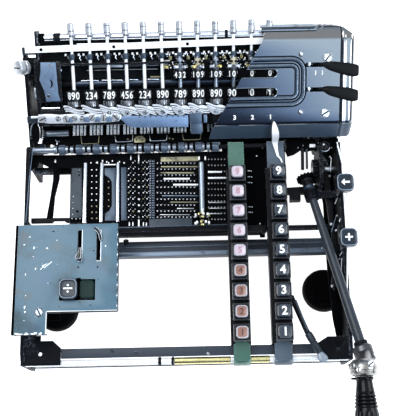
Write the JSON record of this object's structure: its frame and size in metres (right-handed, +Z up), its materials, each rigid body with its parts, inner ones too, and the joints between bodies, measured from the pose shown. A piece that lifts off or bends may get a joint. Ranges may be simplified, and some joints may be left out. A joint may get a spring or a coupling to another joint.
{
  "type": "pinwheel calculator",
  "caption": "Keyboard pinwheel calculator with an open frame, two key columns, sliding register carriage with a cut-away cover, dial knobs, selector panel and front crank.",
  "frame": {"origin": "centre of the overall box in plan, on the surface the feet stand on", "axes": "+X to the operator's right, +Y to the back, +Z up; the keyboard faces -Y"},
  "size_m": [0.3454, 0.3958, 0.1539],
  "materials": {
    "black_enamel": "glossy black enamel",
    "bare_steel": "machined",
    "nickel": "nickel plate",
    "panel_paint": "worn blue-grey paint",
    "green_paint": "dark green paint",
    "blue_paint": "blue-black paint",
    "pale_key": "polished",
    "salmon_key": "polished",
    "black_key": "polished",
    "grip_black": "moulded",
    "foot_rubber": "matte",
    "white_enamel": "ivory enamel"
  },
  "bodies": {
    "root": {"left_side_frame": "black_enamel", "right_side_frame": "black_enamel", "front_bars": "bare_steel", "cross_rails": "black_enamel", "rubber_feet": "foot_rubber", "function_panel": "panel_paint", "green_key_channel": "green_paint", "black_key_channel": "blue_paint", "setting_bed": "black_enamel", "fixed_rods": "bare_steel", "position_pointer": "white_enamel"},
    "transfer_gears": {"transfer_gears": "bare_steel"},
    "crank": {"crank": "nickel"},
    "crank_grip": {"crank_grip": "grip_black"},
    "drive_gear": {"drive_gear": "bare_steel"},
    "pinwheel_rotor": {"pinwheel_rotor": "bare_steel"},
    "green_key_9": {"green_key_9": "pale_key"},
    "green_key_8": {"green_key_8": "pale_key"},
    "green_key_7": {"green_key_7": "pale_key"},
    "green_key_6": {"green_key_6": "pale_key"},
    "green_key_5": {"green_key_5": "pale_key"},
    "green_key_4": {"green_key_4": "salmon_key"},
    "green_key_3": {"green_key_3": "salmon_key"},
    "green_key_2": {"green_key_2": "salmon_key"},
    "green_key_1": {"green_key_1": "salmon_key"},
    "black_key_9": {"black_key_9": "black_key"},
    "black_key_8": {"black_key_8": "black_key"},
    "black_key_7": {"black_key_7": "black_key"},
    "black_key_6": {"black_key_6": "black_key"},
    "black_key_5": {"black_key_5": "black_key"},
    "black_key_4": {"black_key_4": "black_key"},
    "black_key_3": {"black_key_3": "black_key"},
    "black_key_2": {"black_key_2": "black_key"},
    "black_key_1": {"black_key_1": "black_key"},
    "arrow_key": {"arrow_key": "black_key"},
    "plus_key": {"plus_key": "black_key"},
    "divide_key": {"divide_key": "black_key"},
    "blank_key": {"blank_key": "green_paint"},
    "left_selector_lever": {"left_selector_lever": "blue_paint"},
    "right_selector_lever": {"right_selector_lever": "blue_paint"},
    "shift_lever": {"shift_lever": "black_enamel"},
    "carriage": {"carriage_frame": "black_enamel", "register_cover": "black_enamel", "knob_rail": "nickel", "carry_levers": "bare_steel"},
    "carriage_knob": {"carriage_knob": "nickel"},
    "upper_clear_lever": {"upper_clear_lever": "black_enamel"},
    "lower_clear_lever": {"lower_clear_lever": "black_enamel"},
    "dial_shaft_01": {"dial_shaft_01": "nickel"},
    "dial_shaft_02": {"dial_shaft_02": "nickel"},
    "dial_shaft_03": {"dial_shaft_03": "nickel"},
    "dial_shaft_04": {"dial_shaft_04": "nickel"},
    "dial_shaft_05": {"dial_shaft_05": "nickel"},
    "dial_shaft_06": {"dial_shaft_06": "nickel"},
    "dial_shaft_07": {"dial_shaft_07": "nickel"},
    "dial_shaft_08": {"dial_shaft_08": "nickel"},
    "dial_shaft_09": {"dial_shaft_09": "nickel"},
    "dial_shaft_10": {"dial_shaft_10": "nickel"},
    "dial_shaft_11": {"dial_shaft_11": "nickel"},
    "dial_shaft_12": {"dial_shaft_12": "nickel"}
  },
  "joints": [
    {"name": "transfer_gears_turn", "type": "hinge", "parent": "root", "child": "transfer_gears", "pos_m": [0.01148, 0.08814, 0.081], "axis": [1, 0, 0], "continuous": true},
    {"name": "crank_turn", "type": "hinge", "parent": "root", "child": "crank", "pos_m": [0.11968, 0.06564, 0.0683], "axis": [0.2098, -0.9651, 0.1565], "continuous": true},
    {"name": "grip_spin", "type": "hinge", "parent": "crank", "child": "crank_grip", "pos_m": [0.15408, -0.16036, 0.131], "axis": [0, -1, 0], "continuous": true},
    {"name": "drive_gear_turn", "type": "hinge", "parent": "root", "child": "drive_gear", "pos_m": [0.13548, 0.06564, 0.0683], "axis": [1, 0, 0], "continuous": true},
    {"name": "rotor_turn", "type": "hinge", "parent": "root", "child": "pinwheel_rotor", "pos_m": [0.01148, 0.11264, 0.0565], "axis": [1, 0, 0], "continuous": true},
    {"name": "green_key_9_press", "type": "slide", "parent": "root", "child": "green_key_9", "axis": [0, 0.0705, -0.9975], "range_m": [0, 0.005], "stiffness_N_per_m": 150, "springref_m": -0.002},
    {"name": "green_key_8_press", "type": "slide", "parent": "root", "child": "green_key_8", "axis": [0, 0.0705, -0.9975], "range_m": [0, 0.005], "stiffness_N_per_m": 150, "springref_m": -0.002},
    {"name": "green_key_7_press", "type": "slide", "parent": "root", "child": "green_key_7", "axis": [0, 0.0705, -0.9975], "range_m": [0, 0.005], "stiffness_N_per_m": 150, "springref_m": -0.002},
    {"name": "green_key_6_press", "type": "slide", "parent": "root", "child": "green_key_6", "axis": [0, 0.0705, -0.9975], "range_m": [0, 0.005], "stiffness_N_per_m": 150, "springref_m": -0.002},
    {"name": "green_key_5_press", "type": "slide", "parent": "root", "child": "green_key_5", "axis": [0, 0.0705, -0.9975], "range_m": [0, 0.005], "stiffness_N_per_m": 150, "springref_m": -0.002},
    {"name": "green_key_4_press", "type": "slide", "parent": "root", "child": "green_key_4", "axis": [0, 0.0705, -0.9975], "range_m": [0, 0.005], "stiffness_N_per_m": 150, "springref_m": -0.002},
    {"name": "green_key_3_press", "type": "slide", "parent": "root", "child": "green_key_3", "axis": [0, 0.0705, -0.9975], "range_m": [0, 0.005], "stiffness_N_per_m": 150, "springref_m": -0.002},
    {"name": "green_key_2_press", "type": "slide", "parent": "root", "child": "green_key_2", "axis": [0, 0.0705, -0.9975], "range_m": [0, 0.005], "stiffness_N_per_m": 150, "springref_m": -0.002},
    {"name": "green_key_1_press", "type": "slide", "parent": "root", "child": "green_key_1", "axis": [0, 0.0705, -0.9975], "range_m": [0, 0.005], "stiffness_N_per_m": 150, "springref_m": -0.002},
    {"name": "black_key_9_press", "type": "slide", "parent": "root", "child": "black_key_9", "axis": [0, 0.0705, -0.9975], "range_m": [0, 0.005], "stiffness_N_per_m": 150, "springref_m": -0.002},
    {"name": "black_key_8_press", "type": "slide", "parent": "root", "child": "black_key_8", "axis": [0, 0.0705, -0.9975], "range_m": [0, 0.005], "stiffness_N_per_m": 150, "springref_m": -0.002},
    {"name": "black_key_7_press", "type": "slide", "parent": "root", "child": "black_key_7", "axis": [0, 0.0705, -0.9975], "range_m": [0, 0.005], "stiffness_N_per_m": 150, "springref_m": -0.002},
    {"name": "black_key_6_press", "type": "slide", "parent": "root", "child": "black_key_6", "axis": [0, 0.0705, -0.9975], "range_m": [0, 0.005], "stiffness_N_per_m": 150, "springref_m": -0.002},
    {"name": "black_key_5_press", "type": "slide", "parent": "root", "child": "black_key_5", "axis": [0, 0.0705, -0.9975], "range_m": [0, 0.005], "stiffness_N_per_m": 150, "springref_m": -0.002},
    {"name": "black_key_4_press", "type": "slide", "parent": "root", "child": "black_key_4", "axis": [0, 0.0705, -0.9975], "range_m": [0, 0.005], "stiffness_N_per_m": 150, "springref_m": -0.002},
    {"name": "black_key_3_press", "type": "slide", "parent": "root", "child": "black_key_3", "axis": [0, 0.0705, -0.9975], "range_m": [0, 0.005], "stiffness_N_per_m": 150, "springref_m": -0.002},
    {"name": "black_key_2_press", "type": "slide", "parent": "root", "child": "black_key_2", "axis": [0, 0.0705, -0.9975], "range_m": [0, 0.005], "stiffness_N_per_m": 150, "springref_m": -0.002},
    {"name": "black_key_1_press", "type": "slide", "parent": "root", "child": "black_key_1", "axis": [0, 0.0705, -0.9975], "range_m": [0, 0.005], "stiffness_N_per_m": 150, "springref_m": -0.002},
    {"name": "arrow_key_press", "type": "slide", "parent": "root", "child": "arrow_key", "axis": [0, 0, -1], "range_m": [0, 0.004], "stiffness_N_per_m": 200, "springref_m": -0.002},
    {"name": "plus_key_press", "type": "slide", "parent": "root", "child": "plus_key", "axis": [0, 0, -1], "range_m": [0, 0.004], "stiffness_N_per_m": 200, "springref_m": -0.002},
    {"name": "divide_key_press", "type": "slide", "parent": "root", "child": "divide_key", "axis": [0, 0, -1], "range_m": [0, 0.004], "stiffness_N_per_m": 200, "springref_m": -0.002},
    {"name": "blank_key_release", "type": "slide", "parent": "root", "child": "blank_key", "axis": [0, 0, 1], "range_m": [0, 0.005]},
    {"name": "left_selector_slide", "type": "slide", "parent": "root", "child": "left_selector_lever", "axis": [0, 1, 0], "range_m": [0, 0.021]},
    {"name": "right_selector_slide", "type": "slide", "parent": "root", "child": "right_selector_lever", "axis": [0, -1, 0], "range_m": [0, 0.021]},
    {"name": "shift_lever_swing", "type": "hinge", "parent": "root", "child": "shift_lever", "pos_m": [0.10408, -0.07186, 0.07], "axis": [0, 0, 1], "range_deg": [-10, 8]},
    {"name": "carriage_slide", "type": "slide", "parent": "root", "child": "carriage", "axis": [1, 0, 0], "range_m": [0, 0.1436]},
    {"name": "carriage_knob_turn", "type": "hinge", "parent": "carriage", "child": "carriage_knob", "pos_m": [-0.15752, 0.16135, 0.12534], "axis": [-0.6198, -0.41, 0.6691], "continuous": true},
    {"name": "upper_clear_lever_lift", "type": "hinge", "parent": "carriage", "child": "upper_clear_lever", "pos_m": [0.12348, 0.15818, 0.12574], "axis": [0, -0.8526, -0.5225], "range_deg": [0, 38]},
    {"name": "lower_clear_lever_lift", "type": "hinge", "parent": "carriage", "child": "lower_clear_lever", "pos_m": [0.12348, 0.13729, 0.11294], "axis": [0, -0.8526, -0.5225], "range_deg": [0, 38]},
    {"name": "dial_shaft_01_turn", "type": "hinge", "parent": "carriage", "child": "dial_shaft_01", "pos_m": [-0.11332, 0.14306, 0.11883], "axis": [0, 0.8526, 0.5225], "continuous": true},
    {"name": "dial_shaft_02_turn", "type": "hinge", "parent": "carriage", "child": "dial_shaft_02", "pos_m": [-0.09537, 0.14306, 0.11883], "axis": [0, 0.8526, 0.5225], "continuous": true},
    {"name": "dial_shaft_03_turn", "type": "hinge", "parent": "carriage", "child": "dial_shaft_03", "pos_m": [-0.07742, 0.14306, 0.11883], "axis": [0, 0.8526, 0.5225], "continuous": true},
    {"name": "dial_shaft_04_turn", "type": "hinge", "parent": "carriage", "child": "dial_shaft_04", "pos_m": [-0.05947, 0.14306, 0.11883], "axis": [0, 0.8526, 0.5225], "continuous": true},
    {"name": "dial_shaft_05_turn", "type": "hinge", "parent": "carriage", "child": "dial_shaft_05", "pos_m": [-0.04152, 0.14306, 0.11883], "axis": [0, 0.8526, 0.5225], "continuous": true},
    {"name": "dial_shaft_06_turn", "type": "hinge", "parent": "carriage", "child": "dial_shaft_06", "pos_m": [-0.02357, 0.14306, 0.11883], "axis": [0, 0.8526, 0.5225], "continuous": true},
    {"name": "dial_shaft_07_turn", "type": "hinge", "parent": "carriage", "child": "dial_shaft_07", "pos_m": [-0.00562, 0.14306, 0.11883], "axis": [0, 0.8526, 0.5225], "continuous": true},
    {"name": "dial_shaft_08_turn", "type": "hinge", "parent": "carriage", "child": "dial_shaft_08", "pos_m": [0.01233, 0.14306, 0.11883], "axis": [0, 0.8526, 0.5225], "continuous": true},
    {"name": "dial_shaft_09_turn", "type": "hinge", "parent": "carriage", "child": "dial_shaft_09", "pos_m": [0.03028, 0.14306, 0.11883], "axis": [0, 0.8526, 0.5225], "continuous": true},
    {"name": "dial_shaft_10_turn", "type": "hinge", "parent": "carriage", "child": "dial_shaft_10", "pos_m": [0.04823, 0.14306, 0.11883], "axis": [0, 0.8526, 0.5225], "continuous": true},
    {"name": "dial_shaft_11_turn", "type": "hinge", "parent": "carriage", "child": "dial_shaft_11", "pos_m": [0.06618, 0.14306, 0.11883], "axis": [0, 0.8526, 0.5225], "continuous": true},
    {"name": "dial_shaft_12_turn", "type": "hinge", "parent": "carriage", "child": "dial_shaft_12", "pos_m": [0.08413, 0.14306, 0.11883], "axis": [0, 0.8526, 0.5225], "continuous": true}
  ],
  "couplings": [
    {"joint": "drive_gear_turn", "follows": "crank_turn", "ratio": -1},
    {"joint": "rotor_turn", "follows": "crank_turn", "ratio": 1}
  ]
}
